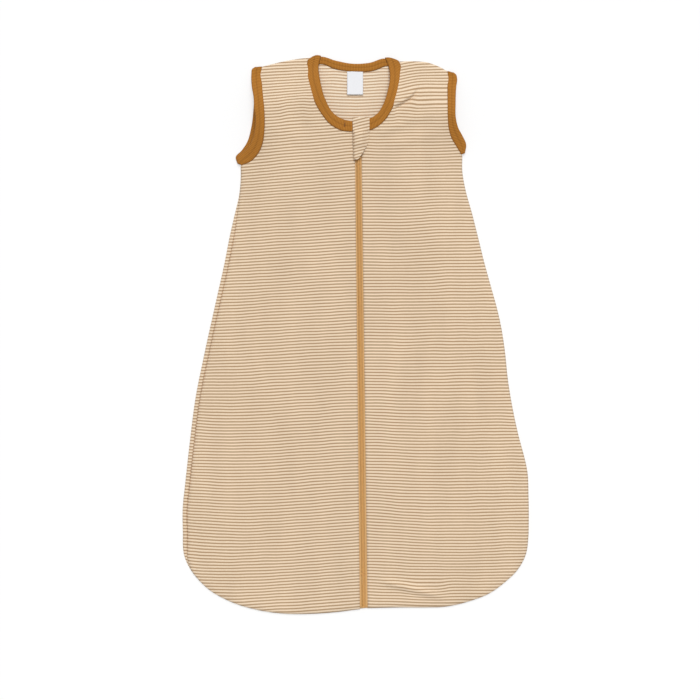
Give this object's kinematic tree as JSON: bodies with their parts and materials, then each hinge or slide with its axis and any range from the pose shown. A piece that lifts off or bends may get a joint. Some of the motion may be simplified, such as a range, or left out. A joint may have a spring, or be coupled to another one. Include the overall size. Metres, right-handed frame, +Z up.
{
  "type": "baby sleeping bag",
  "caption": "Sleeveless striped jersey baby sleeping bag with mustard rib bindings, a centre-front zip to the hem, a chin guard over the slider and front edges that turn back to open.",
  "frame": {"origin": "on the ground under the middle of the bag as it lies on its back", "axes": "+Y to the neck, +X to the right seen from above, +Z up through the front"},
  "size_m": [0.4333, 0.6997, 0.0234],
  "materials": {
    "striped_jersey": "soft cotton knit",
    "mustard_rib": "rib knit",
    "overlock_thread": "sewing thread",
    "zip_tape_weave": "woven tape",
    "zip_coil_nylon": "satin",
    "slider_enamel": "enamel",
    "white_label_tape": "woven satin"
  },
  "bodies": {
    "bag": {"back_panel": "striped_jersey", "front_panel_left": "striped_jersey", "front_panel_right": "striped_jersey", "neck_binding_back": "mustard_rib", "neck_binding_left": "mustard_rib", "neck_binding_right": "mustard_rib", "armhole_binding_left": "mustard_rib", "armhole_binding_right": "mustard_rib", "side_seam_left": "overlock_thread", "side_seam_right": "overlock_thread", "shoulder_seam_left": "overlock_thread", "shoulder_seam_right": "overlock_thread", "zip_coil_end_left": "zip_coil_nylon", "zip_coil_end_right": "zip_coil_nylon", "zip_bottom_stop": "zip_coil_nylon"},
    "front_edge_left": {"front_edge_left": "striped_jersey", "neck_binding_left_end": "mustard_rib", "zip_tape_left": "zip_tape_weave", "zip_coil_left": "zip_coil_nylon", "zip_top_stop_left": "zip_coil_nylon"},
    "front_edge_right": {"front_edge_right": "striped_jersey", "neck_binding_right_end": "mustard_rib", "zip_tape_right": "zip_tape_weave", "zip_coil_right": "zip_coil_nylon", "zip_top_stop_right": "zip_coil_nylon"},
    "zip_slider": {"slider_body": "slider_enamel", "slider_bridge": "slider_enamel"},
    "zip_pull": {"pull_tab": "slider_enamel"},
    "chin_guard": {"chin_guard": "striped_jersey"},
    "neck_label": {"neck_label": "white_label_tape"}
  },
  "joints": [
    {"name": "front_fold_left", "type": "hinge", "parent": "bag", "child": "front_edge_left", "pos_m": [0.00195, -0.2984, 0.00933], "axis": [0.0666, -0.9976, -0.0207], "range_deg": [0, 110], "deforming": ["zip_tape_left", "zip_coil_left"]},
    {"name": "front_fold_right", "type": "hinge", "parent": "bag", "child": "front_edge_right", "pos_m": [0.01715, -0.29822, 0.00933], "axis": [0.0278, 0.9994, 0.0207], "range_deg": [0, 110], "deforming": ["zip_tape_right", "zip_coil_right"]},
    {"name": "zip_slide", "type": "slide", "parent": "bag", "child": "zip_slider", "axis": [0.0123, -0.9997, -0.0207], "range_m": [0, 0.53]},
    {"name": "pull_flip", "type": "hinge", "parent": "zip_slider", "child": "zip_pull", "pos_m": [0.00291, 0.2421, 0.01972], "axis": [-0.9999, -0.0123, 0], "range_deg": [0, 110]},
    {"name": "chin_guard_flip", "type": "hinge", "parent": "front_edge_left", "child": "chin_guard", "pos_m": [0.00256, 0.27027, 0.0211], "axis": [-0.9999, -0.0123, 0], "range_deg": [0, 110]},
    {"name": "label_flip", "type": "hinge", "parent": "bag", "child": "neck_label", "pos_m": [-0.0008, 0.32915, 0.0029], "axis": [-1, 0, 0], "range_deg": [0, 140]}
  ],
  "couplings": [
    {"joint": "front_fold_right", "follows": "front_fold_left", "ratio": 1},
    {"joint": "zip_slide", "follows": "front_fold_left", "m_per_rad": 0.276},
    {"joint": "chin_guard_flip", "follows": "pull_flip", "ratio": 1}
  ]
}
